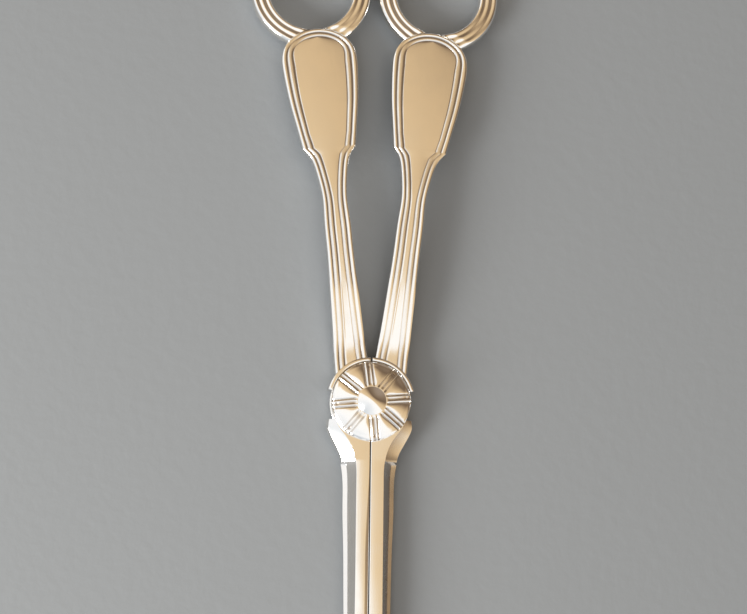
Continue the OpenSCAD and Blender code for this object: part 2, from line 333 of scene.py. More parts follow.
def add_world():
    """A plain room: pale overhead and over the jaws, warm and then dark brown over the rings"""
    world = bpy.data.worlds.new("room")
    bpy.context.scene.world = world
    world.use_nodes = True
    nodes = world.node_tree.nodes
    links = world.node_tree.links
    background = nodes["Background"]
    where = nodes.new("ShaderNodeTexCoord")
    side = nodes.new("ShaderNodeVectorMath")
    side.operation = "DOT_PRODUCT"
    side.inputs[1].default_value = (-0.62, -0.785, 0.0)
    ramp = nodes.new("ShaderNodeValToRGB")
    ramp.color_ramp.interpolation = "LINEAR"
    stops = [(0.0, (0.36, 0.29, 0.23)), (0.1, (0.24, 0.175, 0.12)), (0.2, (0.15, 0.1, 0.065)),
             (0.32, (0.65, 0.47, 0.275)), (0.43, (0.76, 0.58, 0.36)), (0.453, (0.83, 0.68, 0.48)),
             (0.474, (1.03, 1.01, 0.98)), (0.66, (0.97, 0.98, 1.0)), (0.85, (0.78, 0.82, 0.87)),
             (1.0, (0.5, 0.54, 0.6))]
    points = ramp.color_ramp.elements
    while len(points) < len(stops):
        points.new(0.5)
    for point, (position, colour) in zip(points, stops):
        point.position = position
        point.color = (*colour, 1)
    scale = nodes.new("ShaderNodeMath")
    scale.operation = "MULTIPLY_ADD"
    scale.inputs[1].default_value = 0.5
    scale.inputs[2].default_value = 0.5
    links.new(where.outputs["Generated"], side.inputs[0])
    links.new(side.outputs["Value"], scale.inputs[0])
    links.new(scale.outputs[0], ramp.inputs["Fac"])
    links.new(ramp.outputs["Color"], background.inputs["Color"])
    background.inputs["Strength"].default_value = 1.1


def add_floor():
    """A plain pale floor with a very slight grain"""
    shape = Shape()
    half = 6000.0
    ticks = np.linspace(-half, half, 13)
    grid = np.empty((13, 13, 3))
    grid[:, :, 0] = ticks[:, None]
    grid[:, :, 1] = ticks[None, :]
    grid[:, :, 2] = 0
    shape.grid(grid)
    mesh = shape.mesh("floor")
    floor = bpy.data.objects.new("floor", mesh)
    bpy.context.scene.collection.objects.link(floor)
    material = bpy.data.materials.new("floor_paint")
    material.use_nodes = True
    nodes = material.node_tree.nodes
    links = material.node_tree.links
    shader = nodes["Principled BSDF"]
    shader.inputs["Base Color"].default_value = (0.245, 0.26, 0.272, 1)
    shader.inputs["Roughness"].default_value = 0.75
    shader.inputs["Specular IOR Level"].default_value = 0.3
    where = nodes.new("ShaderNodeTexCoord")
    grain = nodes.new("ShaderNodeTexNoise")
    grain.inputs["Scale"].default_value = 350
    grain.inputs["Detail"].default_value = 3
    bump = nodes.new("ShaderNodeBump")
    bump.inputs["Strength"].default_value = 0.12
    bump.inputs["Distance"].default_value = 0.0006
    links.new(where.outputs["Object"], grain.inputs["Vector"])
    links.new(grain.outputs["Fac"], bump.inputs["Height"])
    links.new(bump.outputs["Normal"], shader.inputs["Normal"])
    mesh.materials.append(material)


# ---- Materials --------------------------------------------------------------------------------

def noise(tree, where, scale, detail, roughness):
    """The value of a noise texture"""
    node = tree.nodes.new("ShaderNodeTexNoise")
    node.inputs["Scale"].default_value = scale
    node.inputs["Detail"].default_value = detail
    node.inputs["Roughness"].default_value = roughness
    tree.links.new(where, node.inputs["Vector"])
    return node.outputs["Fac"]


def remap(tree, value, from_low, from_high, to_low, to_high):
    """A value moved from one range to another"""
    node = tree.nodes.new("ShaderNodeMapRange")
    node.inputs["From Min"].default_value = from_low
    node.inputs["From Max"].default_value = from_high
    node.inputs["To Min"].default_value = to_low
    node.inputs["To Max"].default_value = to_high
    tree.links.new(value, node.inputs["Value"])
    return node.outputs["Result"]


def tarnish_and_shade_amount(tree, cloud):
    """The mesh's tarnish and painted shade, thinned unevenly where the metal has been rubbed"""
    own = tree.nodes.new("ShaderNodeAttribute")
    own.attribute_name = "tarnish_and_shade"
    uneven = tree.nodes.new("ShaderNodeMath")
    uneven.operation = "MULTIPLY"
    tree.links.new(own.outputs["Fac"], uneven.inputs[0])
    tree.links.new(remap(tree, cloud, 0.3, 0.62, 0.5, 1.0), uneven.inputs[1])
    return uneven.outputs[0]


def add_colour(tree, shader, cloud, tarnish_and_shade, colour, dull):
    """The metal's colour, a little clouded, and its tarnish and painted shade"""
    tint = tree.nodes.new("ShaderNodeMix")
    tint.data_type = "RGBA"
    tint.inputs["A"].default_value = (*colour, 1)
    tint.inputs["B"].default_value = (*[c * 0.93 for c in colour], 1)
    tree.links.new(cloud, tint.inputs["Factor"])
    stain_and_shade = tree.nodes.new("ShaderNodeMix")
    stain_and_shade.data_type = "RGBA"
    stain_and_shade.inputs["B"].default_value = (*dull, 1)
    tree.links.new(tint.outputs["Result"], stain_and_shade.inputs["A"])
    tree.links.new(tarnish_and_shade, stain_and_shade.inputs["Factor"])
    tree.links.new(stain_and_shade.outputs["Result"], shader.inputs["Base Color"])


def add_gloss(tree, shader, cloud, tarnish_and_shade, rough):
    """Roughness that varies with the clouds and grows with the tarnish and painted shade"""
    rougher = tree.nodes.new("ShaderNodeMath")
    rougher.operation = "MULTIPLY_ADD"
    rougher.inputs[1].default_value = 0.3
    tree.links.new(tarnish_and_shade, rougher.inputs[0])
    tree.links.new(remap(tree, cloud, 0.3, 0.7, rough * 0.7, rough * 1.4), rougher.inputs[2])
    tree.links.new(rougher.outputs[0], shader.inputs["Roughness"])


def add_marks(tree, shader, where, pitting, scratch, along):
    """Hair scratches along one direction, and fine pits"""
    stretch = tree.nodes.new("ShaderNodeMapping")
    stretch.inputs["Scale"].default_value = along
    tree.links.new(where, stretch.inputs["Vector"])
    hair = noise(tree, stretch.outputs["Vector"], 900, 6, 0.7)
    relief = tree.nodes.new("ShaderNodeBump")
    relief.inputs["Strength"].default_value = scratch
    relief.inputs["Distance"].default_value = 0.00002
    tree.links.new(hair, relief.inputs["Height"])

    speck = tree.nodes.new("ShaderNodeTexVoronoi")
    speck.inputs["Scale"].default_value = 420
    speck.inputs["Randomness"].default_value = 1.0
    tree.links.new(where, speck.inputs["Vector"])
    pits = tree.nodes.new("ShaderNodeBump")
    pits.inputs["Strength"].default_value = pitting
    pits.inputs["Distance"].default_value = 0.000012
    pits.invert = True
    depth = remap(tree, speck.outputs["Distance"], 0.02, 0.1, 1.0, 0.0)
    tree.links.new(depth, pits.inputs["Height"])
    tree.links.new(relief.outputs["Normal"], pits.inputs["Normal"])
    tree.links.new(pits.outputs["Normal"], shader.inputs["Normal"])


def metal(name, colour, dull, rough, pitting, scratch, along):
    """A metal with clouded gloss, fine marks, tarnish in its hollows and, on the jaws, painted
    shade
    """
    material = bpy.data.materials.new(name)
    material.use_nodes = True
    tree = material.node_tree
    shader = tree.nodes["Principled BSDF"]
    shader.inputs["Metallic"].default_value = 1.0
    where = tree.nodes.new("ShaderNodeTexCoord").outputs["Object"]
    cloud = noise(tree, where, 130, 4, 0.55)
    tarnish_and_shade = tarnish_and_shade_amount(tree, cloud)
    add_colour(tree, shader, cloud, tarnish_and_shade, colour, dull)
    add_gloss(tree, shader, cloud, tarnish_and_shade, rough)
    add_marks(tree, shader, where, pitting, scratch, along)
    return material


# ---- Finger rings -----------------------------------------------------------------------------

def reed_height(u):
    """Three rounded reeds across a ring's face, as a share of their height"""
    bare = np.abs(np.sin(math.radians(270) * (u + 1)))
    return 0.45 * bare + 0.55 * bare ** 2


def ring_face(u):
    """Height of a ring's reeded face above its middle, from the inside, -1, to the outside, 1"""
    wall = (RING_T / 2 - REED_H) * np.sqrt(np.maximum(0, 1 - np.abs(u) ** 7))
    return wall + REED_H * reed_height(u)


def ring_shape():
    """A reeded ring, open where the handle's arched end fills it"""
    half_w = (RING_OUT_R - RING_IN_R) / 2
    u = -np.cos(np.linspace(0, math.pi, 61))
    face = np.stack([RING_MID_R + half_w * u, ring_face(u)], axis=1)
    back = face[-2:0:-1] * np.array([1, -1])
    profile = np.concatenate([face, back])
    valley = 0.3 * np.exp(-(reed_height(u) / 0.12) ** 2) * (np.abs(u) < 0.9)
    dirt_and_shade = np.concatenate([valley, valley[-2:0:-1]])
    r = profile[:, 0]
    reach = HANDLE_L - ARCH_MID
    meet = np.arccos(np.clip((reach ** 2 + r ** 2 - ARCH_R ** 2) / (2 * reach * r), -1, 1))
    tucked_in = 0.35
    start = np.maximum(meet - tucked_in / r, 0.0)
    s = np.linspace(0, 1, 241)[:, None]
    angle = start[None, :] * (1 - 2 * s) + 2 * math.pi * s
    near = np.minimum(s, 1 - s) * 2 * math.pi * RING_MID_R
    thin = 1 - 0.16 * (1 - soft(near / 3.0))
    grid = np.empty((len(s), len(profile), 3))
    grid[:, :, 0] = np.sin(angle) * r
    grid[:, :, 1] = -np.cos(angle) * r
    grid[:, :, 2] = profile[None, :, 1] * thin
    shape = Shape()
    shape.grid(grid, np.tile(dirt_and_shade, (len(s), 1)), loop_j=True, cap_i=True)
    lift = float(handle_z(np.array(HANDLE_L)))
    c = math.cos(RING_TILT)
    k = math.sin(RING_TILT)

    def seat(p):
        x, y, z = p[:, 0], p[:, 1], p[:, 2]
        return np.stack([x, HANDLE_L + y * c + z * k, lift - y * k + z * c], axis=1)

    shape.move(seat)
    return shape


def put_right(shape):
    """Moves a handle's own drawing to its place on the right"""
    c = math.cos(-HANDLE_LEAN)
    s = math.sin(-HANDLE_LEAN)

    def turn(p):
        x = c * p[:, 0] - s * p[:, 1] + HANDLE_STEP
        y = s * p[:, 0] + c * p[:, 1]
        return np.stack([x, y, p[:, 2]], axis=1)

    shape.move(turn)
    return shape


# ---- Handles ----------------------------------------------------------------------------------

# Distances along a handle: where its root is free of the collar, and the fiddle's shoulders
ROOT_END = 14.0
SHOULDER_T = 62.9
# The panel's depth below the top
PANEL_DROP = 0.13
# The collar's bead: the radius of the middle of the collar's section, and of its outer slope
COLLAR_MID_R = 10.2
BEAD_R = 10.4


def handle_outline():
    """Points (half width, distance) up one edge, to the shoulder and on to the arch's tip"""
    stem = [(7, 4.2), (11, 4.1), (13, 4), (15, 3.9), (20.5, 3.7), (26, 3.55), (32, 3.4), (38, 3.3),
            (45, 3.25), (50.7, 3.1), (53.7, 3.4), (56.2, 3.8), (58.7, 4.3), (61.2, 5.3),
            (SHOULDER_T, 6.6)]
    t = np.concatenate([np.linspace(9, 50, 110, endpoint=False), np.linspace(50, SHOULDER_T, 70)])
    knots = np.array([s[0] for s in stem], float)
    width = spline(knots, np.array([s[1] for s in stem], float), t)
    lower = np.stack([width, t], axis=1)

    side = [(6.6, SHOULDER_T), (7.55, 68.7), (8.4, 73.7), (9, 78.7), (9.35, 83), (9.4, 85.2),
            (9.2, 87), (8.55, 88.9)]
    arch = [(ARCH_R * math.sin(math.radians(a)), ARCH_MID + ARCH_R * math.cos(math.radians(a)))
            for a in (40, 31, 22, 14, 7, 0, -7, -14)]
    knots = np.array(side + arch)
    run = np.concatenate([[0], np.cumsum(np.linalg.norm(np.diff(knots, axis=0), axis=1))])
    tip = run[len(side) + 5]
    turn_in = tip * 0.55
    at = np.concatenate([np.linspace(0, turn_in, 60, endpoint=False),
                         np.linspace(turn_in, tip, 130)])
    upper = spline(run, knots, at)
    upper[-1, 0] = 0.0
    return lower, upper


def inward(points):
    """Unit normals to the inside of an outline that runs up the right-hand edge"""
    d = np.gradient(points, axis=0)
    d /= np.linalg.norm(d, axis=1)[:, None]
    return np.stack([-d[:, 1], d[:, 0]], axis=1)


def border_width(t, tip):
    """Width of the threaded border: narrow on the stem, wide at the belly, less at the arch"""
    knots = [0, 15, 30, 45, 52, SHOULDER_T, 69, 77, 84, 90]
    widths = [3.0, 2.9, 2.85, 2.75, 2.5, 2.65, 2.8, 3.1, 3.4, 3.3]
    return np.interp(t, knots, widths) - 0.95 * tip


def thread_profile():
    """Columns across the border: share of its width, depth below the top, tarnish"""
    first_groove = 0.43
    last_groove = 0.905
    depth = 0.2
    edge_fall = 0.36
    rows = []
    for v in np.linspace(-1, 1, 17)[1:]:
        share = first_groove * (v + 1) / 2
        rows.append((share, depth * abs(v) ** 2.3 if v > 0 else edge_fall * abs(v) ** 2.4))
    for v in np.linspace(-1, 1, 17)[1:]:
        share = first_groove + (last_groove - first_groove) * (v + 1) / 2
        rows.append((share, depth * abs(v) ** 2.3))
    for v in np.linspace(0, 1, 7)[1:]:
        share = last_groove + (1 - last_groove) * v
        rows.append((share, depth + (PANEL_DROP - depth) * math.sin(v * math.pi / 2)))
    share = np.array([r[0] for r in rows])
    drop = np.array([r[1] for r in rows])
    groove_w = 0.05
    dirt_and_shade = 0.65 * np.exp(-((share - first_groove) / groove_w) ** 2)
    dirt_and_shade = dirt_and_shade + 0.7 * np.exp(-((share - last_groove) / groove_w) ** 2)
    dirt_and_shade = dirt_and_shade + 0.2 * (share > first_groove) * (share < last_groove)
    return share, drop, dirt_and_shade


def root_start(x):
    """Distance along a right-hand handle at which a line at x beside its axis leaves the collar"""
    lean = HANDLE_STEP * math.sin(HANDLE_LEAN)
    x = np.clip(x, -4.5, 4.5)
    side = x ** 2 + HANDLE_STEP ** 2 + 2 * x * HANDLE_STEP * math.cos(HANDLE_LEAN)
    return np.sqrt(lean ** 2 + BEAD_R ** 2 - side) - lean


def border_lines():
    """The handle's outline up one edge, and the way in which its border lies inwards from it"""
    lower, upper = handle_outline()
    upper_in = inward(upper)
    upper_in[-1] = (0, -1)
    outline = np.concatenate([lower, upper[1:]])
    normal = np.concatenate([inward(lower), upper_in[1:]])
    t = outline[:, 1]
    blend = soft((t - 72) / 10)
    stretch = np.minimum(1 / np.maximum(0.72, -normal[:, 0]), 1.35)
    stretch[np.abs(np.arange(len(t)) - len(lower)) < 6] = 1.12
    stretch = np.convolve(np.pad(stretch, 4, mode="edge"), np.ones(9) / 9, mode="valid")
    sideways = np.stack([-stretch, np.zeros(len(t))], axis=1)
    return outline, sideways * (1 - blend)[:, None] + normal * blend[:, None]


def handle_plan():
    """Half of a handle seen from above: its points, their depth below the top and their tarnish"""
    outline, across = border_lines()
    t = outline[:, 1]
    wide = border_width(t, soft((t - 84) / 9))
    share, drop, dirt_and_shade = thread_profile()
    reach = wide[:, None] * share[None, :]
    border = outline[:, None, :] + across[:, None, :] * reach[:, :, None]
    inner = border[:, -1, :]
    fill = np.array([0.12, 0.3, 0.5, 0.7, 0.86, 1.0])
    panel = np.empty((len(t), len(fill), 2))
    panel[:, :, 0] = inner[:, None, 0] * (1 - fill)[None, :]
    panel[:, :, 1] = inner[:, None, 1]
    crown = PANEL_DROP - 0.11 * (1 - (1 - fill) ** 2)

    side = [2.0, 1.2, 0.6]
    rim = np.repeat(outline[:, None, :], len(side), axis=1)
    flat = np.concatenate([rim, border, panel], axis=1)
    fall = np.tile(np.concatenate([side, drop, crown]), (len(t), 1))
    stem_drop = 0.11
    broad = soft((t - 52) / 12)[:, None]
    fall[:, -len(fill):] = stem_drop + (fall[:, -len(fill):] - stem_drop) * broad
    worn_drop = 0.06
    worn = 1 - 0.75 * np.exp(-((t - 21.5) / 8) ** 4)[:, None]
    threads = slice(len(side), len(side) + len(share))
    fall[:, threads] = worn_drop + (fall[:, threads] - worn_drop) * worn
    stain_and_shade = np.concatenate([[0.1, 0, 0], dirt_and_shade, np.zeros(len(fill))])
    return flat, fall, np.tile(stain_and_shade, (len(t), 1)) * worn


def handle_shape():
    """A fiddle-shaped handle with two threads round both of its faces"""
    flat, fall, stains = handle_plan()
    t = flat[:, 0, 1]
    near = np.clip((ROOT_END - t) / (ROOT_END - t[0]), 0, 1)[:, None]

    def half(sign, top):
        x = sign * flat[:, :, 0]
        along = flat[:, :, 1] + near * (root_start(x) - t[0])
        z_half = handle_half_t(along)
        z = handle_z(along) + top * (z_half - np.minimum(fall, z_half))
        return np.stack([x, along, z], axis=2)

    shape = Shape()
    for sign in (1, -1):
        for top in (1, -1):
            grid = half(sign, top)
            if sign * top < 0:
                shape.grid(grid[:, ::-1], stains[:, ::-1])
            else:
                shape.grid(grid, stains)
    first = Shape()
    loop = [half(1, 1)[0], half(-1, 1)[0][::-1], half(-1, -1)[0], half(1, -1)[0][::-1]]
    ring = np.concatenate(loop)
    first.add(ring, [tuple(range(len(ring)))])
    shape.join(first)
    return shape


def collar_shape(front_is_own):
    """The raised bead in which a right-hand handle ends round the rosette"""
    inner_low = HUB_R + HUB_GAP if front_is_own else HUB_R + 0.02
    inner_high = HUB_R + 0.02 if front_is_own else HUB_R + HUB_GAP
    split = FRONT_LAP_Z if front_is_own else REAR_LAP_Z
    bead = []
    for a in np.linspace(0, math.pi, 13):
        bead.append((10.35 + 0.55 * math.cos(a), HUB_TOP + 0.38 * math.sin(a) ** 0.8))
    profile = [
        (inner_low, HUB_LIFT), (BEAD_R, HUB_LIFT), (10.7, HUB_LIFT + 0.06),
        (10.85, HUB_LIFT + 0.2), (COLLAR_R, HUB_LIFT + 0.4), (COLLAR_R, HUB_TOP - 0.5), *bead,
        (9.72, HUB_TOP - 0.06), (inner_high, HUB_TOP - 0.06), (inner_high, split),
        (inner_low, split),
    ]
    profile = np.array(profile)
    start = math.pi / 2 - SLIT / COLLAR_MID_R
    steps = 64
    s = np.linspace(0, 1, steps + 1)
    angle = start + (COLLAR_END - start) * s
    grid = np.empty((steps + 1, len(profile), 3))
    middle = np.array([COLLAR_MID_R, HUB_MID])
    for i, a in enumerate(angle):
        end = min(i, steps - i)
        shrink = (0.955, 0.985)[end] if end < 2 else 1.0
        p = middle + (profile - middle) * np.array([1.0, shrink])
        p[:, 0] = np.maximum(p[:, 0], profile[:, 0].min())
        grid[i, :, 0] = np.cos(a) * p[:, 0]
        grid[i, :, 1] = np.sin(a) * p[:, 0]
        grid[i, :, 2] = p[:, 1]
    stain_and_shade = np.where(profile[:, 1] < HUB_TOP + 0.02, 0.25, 0.0)
    shape = Shape()
    shape.grid(grid, np.tile(stain_and_shade, (steps + 1, 1)), loop_j=True, cap_i=True)
    return shape


# ---- Jaws -------------------------------------------------------------------------------------

# Distances down a jaw from the pivot: where its blade starts, where its shoulder ends in a
# short step, the step's length, and where the blade starts to thin
JAW_START = 4.4
STEP_START = 14.4
STEP_L = 0.8
TAPER_START = 40
# The thinning of each face at the tip
TIP_TAPER = 0.45
# The shoulder's upright side: its draft, and the drop of its upper edge
SIDE_DRAFT = 0.45
BEVEL_DROP = 0.85
# The lip's small edge beside the underside
LIP_EDGE = 0.35
# Points on each corner of a jaw's section, and which corner is the foot of the slope
CORNER_STEPS = 5
FOOT_CORNER = 4


def jaw_rows(wide):
    """Distances down a jaw with its half width, flat top and tooth notch at each; the wide-edged
    left jaw has its teeth half a pitch on"""
    outline = [
        (-4.4, 10.55, 8.6), (-6.2, 10.7, 7.8), (-8.6, 9.75, 6.0), (-10.8, 8.5, 4.7),
        (-13, 7.4, 3.9), (-14.4, 7.03, 3.62), (-15.2, 6.85, 3.5), (-19, JAW_W + 0.45, 3.35),
        (-26, JAW_W + 0.35, 3.35), (-34, JAW_W + 0.1, 3.35), (-44, JAW_W - 0.1, 3.35),
        (-55, JAW_W - 0.3, 3.35), (-64, JAW_W - 0.6, 3.2), (-70, JAW_W - 1, 2.9),
        (-74, JAW_W - 1.6, 2.4), (-77, JAW_W - 2.4, 1.9), (-78.8, JAW_W - 3.2, 1.4),
        (-80, JAW_W - 4.2, 1.0),
    ]
    down = -np.array([o[0] for o in outline])
    tooth_at = [JAW_L - 4 - (i + (0.5 if wide else 0)) * TOOTH_PITCH for i in range(TEETH)]
    fine = [a + b for a in tooth_at for b in (-TOOTH_H, -TOOTH_H / 2, 0, TOOTH_H / 2, TOOTH_H)]
    y = np.concatenate([np.linspace(JAW_START, 19, 50), np.linspace(19.4, 58, 60),
                        np.linspace(58.5, JAW_L, 40), fine])
    y = np.unique(np.round(np.clip(y, JAW_START, JAW_L), 3))
    width = spline(down, np.array([o[1] for o in outline]), y)
    flat = spline(down, np.array([o[2] for o in outline]), y)
    notch = np.zeros(len(y))
    for a in tooth_at:
        notch = np.maximum(notch, TOOTH_H - np.abs(y - a))
    return y, width, flat, notch


def inner_edge(d, wide):
    """Width of the edge that is broken between a jaw's flat top and its meeting face"""
    if not wide:
        return 0.12
    return 0.12 + 0.78 * float(soft((d - 14) / 24)) * (1 - float(soft((d - 54) / 10)))


def jaw_section(d, w, f, notch, wide):
    """One section, of outer half width w and flat top f, and the foot of its slope with how far
    the slope has opened there"""
    taper = TIP_TAPER * float(soft((d - TAPER_START) / (JAW_L - TAPER_START)))
    top = HUB_TOP - taper
    bottom = HUB_LIFT + taper
    x0 = SEAM / 2 + notch
    c = min(inner_edge(d, wide), f - x0 - 0.15)
    u = float(soft((d - STEP_START) / STEP_L))
    fall = 0.5 * float(soft((d - JAW_START) / (STEP_START - JAW_START))) + 0.5 * u
    foot = (f + SLOPE_SHARE * (w - f) * u, top + (bottom + LIP_H - top) * u)
    rim = (w - SIDE_DRAFT * (1 - fall),
           (top - BEVEL_DROP) * (1 - fall) + (bottom + LIP_EDGE + 0.02) * fall)
    corners = [(x0, bottom), (x0, top - 0.4 * c), (x0 + c, top), (f - 0.01, top), foot, rim,
               (w, bottom + LIP_EDGE), (w - LIP_EDGE, bottom)]
    radii = [0.12, 0.04, 0.05, 0.09, 0.1, 0.12, 0.1, 0.2]
    return rounded(corners, radii, CORNER_STEPS), (*foot, u)


def jaw_shape(wide):
    """A jaw drawn on the right: flat top, outer bevel, steep side and teeth near the tip, with
    painted shade and painted reflection darkening its meeting face, lip and steep side
    """
    y, width, flat, notch = jaw_rows(wide)
    rows = [jaw_section(*row, wide) for row in zip(y, width, flat, notch)]
    section = np.array([row[0] for row in rows])
    lips = [row[1] for row in rows]
    lip_x, lip_z, lip_u = np.array(lips).T[:, :, None]
    grid = np.empty((len(y), section.shape[1], 3))
    grid[:, :, 0] = section[:, :, 0]
    grid[:, :, 1] = -y[:, None]
    grid[:, :, 2] = section[:, :, 1]
    # Painted shade and painted reflection, mixed into the metal's colour. The meeting face below
    # the top edge is darkened as painted shade in the gap between the jaws. The lip and steep
    # outer side are darkened as a painted reflection of the shaded floor beside them, far darker
    # on the right-hand jaw, whose side faces away from the light.
    below_edge = section[:, :, 1] < HUB_TOP - 0.5
    inner = np.exp(-((section[:, :, 0] - SEAM / 2) / 0.25) ** 2) * below_edge
    lip_shade = lip_u * (section[:, :, 0] > lip_x - 0.05) * (section[:, :, 1] < lip_z + 0.05)
    steep_side_shade = lip_u * (section[:, :, 0] > flat[:, None] - 0.05) * (section[:, :, 0] < lip_x + 0.05)
    stain_and_shade = 0.6 * inner + (0.1 * lip_shade + 0.3 * steep_side_shade if wide else 0.45 * lip_shade + 0.6 * steep_side_shade)
    # On the right-hand jaw, painted shade also darkens the foot of the slope along the shoulder,
    # where the lip has not yet opened.
    if not wide:
        stain_and_shade[:, FOOT_CORNER * CORNER_STEPS:(FOOT_CORNER + 1) * CORNER_STEPS] += 0.6 * (1 - lip_u)
    shape = Shape()
    shape.grid(grid, stain_and_shade, loop_j=True, cap_i=True)
    return shape


def cut(mesh_a, mesh_b, name):
    """Mesh a less mesh b"""
    a = bpy.data.objects.new("cut_a", mesh_a)
    b = bpy.data.objects.new("cut_b", mesh_b)
    bpy.context.scene.collection.objects.link(a)
    bpy.context.scene.collection.objects.link(b)
    modifier = a.modifiers.new("cut", "BOOLEAN")
    modifier.operation = "DIFFERENCE"
    modifier.solver = "EXACT"
    modifier.object = b
    graph = bpy.context.evaluated_depsgraph_get()
    made = bpy.data.meshes.new_from_object(a.evaluated_get(graph))
    made.name = name
    bpy.data.objects.remove(a)
    bpy.data.objects.remove(b)
    return made


# Steps round the laps and their cutter, and the cutter's bore, which keeps it a closed ring
HUB_STEPS = 160
AXIS_R = 0.001


def hub_cutter(front_is_own):
    """The round space that a jaw's blade leaves for both laps"""
    own = HUB_R - 0.06
    other = HUB_R + HUB_GAP
    split = FRONT_LAP_Z if front_is_own else REAR_LAP_Z
    low = other if front_is_own else own
    high = own if front_is_own else other
    below = -1
    above = 12
    return lathe([(AXIS_R, below), (low, below), (low, split), (high, split), (high, above),
                  (AXIS_R, above)], HUB_STEPS)


def lap_shape(z0, z1, bore, nut_recess):
    """A hub lap: a round plate with softened edges and the pivot's bore"""
    e = 0.12
    profile = [(bore + e, z0), (HUB_R - e, z0), (HUB_R, z0 + e), (HUB_R, z1 - e), (HUB_R - e, z1),
               (bore + e, z1), (bore, z1 - e)]
    if nut_recess:
        recess_r = NUT_R + 0.2
        recess_z = z0 + 0.4
        profile = [(HUB_R - e, z0), (HUB_R, z0 + e), (HUB_R, z1 - e), (HUB_R - e, z1),
                   (bore + e, z1), (bore, z1 - e), (bore, recess_z), (recess_r, recess_z),
                   (recess_r, z0)]
    else:
        profile.append((bore, z0 + e))
    return lathe(profile, HUB_STEPS)


def mesh_shape(mesh):
    """Gathers a made mesh back into a Shape, in millimetres"""
    points = np.empty(len(mesh.vertices) * 3)
    mesh.vertices.foreach_get("co", points)
    dirt_and_shade = np.zeros(len(mesh.vertices))
    if "tarnish_and_shade" in mesh.attributes:
        mesh.attributes["tarnish_and_shade"].data.foreach_get("value", dirt_and_shade)
    shape = Shape()
    shape.add(points.reshape(-1, 3) / MM, [tuple(p.vertices) for p in mesh.polygons], dirt_and_shade)
    return shape


# ---- Rosettes and pivot -----------------------------------------------------------------------

# The angle from one petal to the next
PITCH = 2 * math.pi / FLUTES


def rib_distance(r, turn):
    """Distance from the middle of the nearest rib"""
    phase = (turn - FLUTE_TURN + PITCH / 2) % PITCH - PITCH / 2
    return np.abs(phase) * r


def rosette_top(r, turn):
    """Height of the front rosette above its base: a low dome of petals between double ribs"""
    knots = [BUTTON_R, 4.2, 5.2, 6.2, 7.2, 8.2, 8.9, 9.4, 9.75]
    heights = [2.07, 2.07, 2.04, 1.96, 1.8, 1.55, 1.32, 1.1, 0.74]
    dome = spline(knots, heights, r.ravel()).reshape(r.shape)
    side = rib_distance(r, turn)
    rise = soft(r - BUTTON_R)
    line = np.exp(-((side - 0.58) / 0.18) ** 2)
    trough = np.exp(-(side / 0.34) ** 2)
    petal_at = 1.0
    valley = np.exp(-((side - petal_at) / 0.2) ** 2)
    petal_w = np.maximum(PITCH / 2 * r - petal_at, 0.3)
    petal = np.clip((side - petal_at) / petal_w, 0, 1)
    sunk = np.where(side > petal_at, (1 - petal) ** 2, soft(side))
    relief = rise * (0.12 * line - 0.16 * trough - 0.14 * valley - 0.2 * sunk)
    pit_r = 8.5
    pit = 0.08 * np.exp(-((r - pit_r) / 0.3) ** 2) * trough
    dirt_and_shade = rise * (0.8 * trough + 0.75 * valley)
    dirt_and_shade = dirt_and_shade + 0.8 * np.exp(-((r - pit_r) / 0.28) ** 2) * np.exp(-(side / 0.3) ** 2)
    return dome + relief - pit, dirt_and_shade


def petal_edge(turn):
    """Outer radius of a rosette: full at its ribs, a little less between them"""
    phase = (turn - FLUTE_TURN + PITCH / 2) % PITCH / PITCH - 0.5
    scallop = 0.08
    return ROSETTE_R - scallop * (1 - np.cos(2 * math.pi * phase))


def rosette_grid(turn, radius, height, rim):
    """Points of a rosette's face, and then of its rim and inside, as heights above its base"""
    rim_r = np.stack([np.broadcast_to(r, turn.shape) for r, z in rim], axis=1)
    rim_z = np.tile([z for r, z in rim], (len(turn), 1))
    r = np.concatenate([radius, rim_r], axis=1)
    z = np.concatenate([height, rim_z], axis=1)
    angle = turn[:, None]
    return np.stack([np.cos(angle) * r, np.sin(angle) * r, z], axis=2)


def front_rosette_shape():
    """The front rosette, from the button's well out to its scalloped rim"""
    turn = np.linspace(0, 2 * math.pi, 400, endpoint=False)
    r = np.concatenate([np.linspace(WELL_R, 8.0, 34), np.linspace(8.1, 9.6, 22)])
    radius, angle = np.meshgrid(r, turn)
    height, dirt_and_shade = rosette_top(radius, angle)
    reach = (petal_edge(turn) - WELL_R) / (ROSETTE_R - WELL_R)
    scalloped = WELL_R + (radius - WELL_R) * reach[:, None]
    bore = SHOULDER_R + SEAT_FIT
    well = SEAT_Z - HUB_TOP
    edge = [(9.7, 0.86), (9.74, 0.72), (ROSETTE_R, 0.55), (ROSETTE_R, 0.36), (9.68, 0.2),
            (9.58, 0.1)]
    rim = [(WELL_R + (a - WELL_R) * reach, z) for a, z in edge]
    rim += [(HUB_R, 0.1), (HUB_R - 0.02, 0.0), (bore, 0.0), (bore, well), (WELL_R, well)]
    grid = rosette_grid(turn, scalloped, height, rim)
    grid[:, :, 2] += HUB_TOP
    shape = Shape()
    shape.grid(grid, np.pad(dirt_and_shade, ((0, 0), (0, len(rim)))), loop_i=True, loop_j=True)
    return shape


def rear_rosette_face(radius, angle):
    """Depth of the rear rosette's flutes over its low dome, and their tarnish"""
    knots = [3.3, 4.8, 6.6, 8.2, 9.1, 9.45, 9.75]
    dome = np.interp(radius, knots, [1.15, 1.15, 1.06, 0.92, 0.78, 0.7, 0.5])
    side = rib_distance(radius, angle)
    inside = soft((8.75 - radius) / 0.5) * soft((radius - 3.6) / 1.2)
    flute = np.clip((side - 0.5) / np.maximum(PITCH / 2 * radius - 0.5, 0.2), 0, 1)
    line_r = 8.82
    height = dome - inside * 0.2 * np.sin(flute * math.pi / 2) ** 0.7
    height = height - 0.1 * np.exp(-((radius - line_r) / 0.14) ** 2)
    dirt_and_shade = inside * 0.6 * np.exp(-((side - 0.7) / 0.2) ** 2)
    return height, dirt_and_shade + 0.5 * np.exp(-((radius - line_r) / 0.12) ** 2)


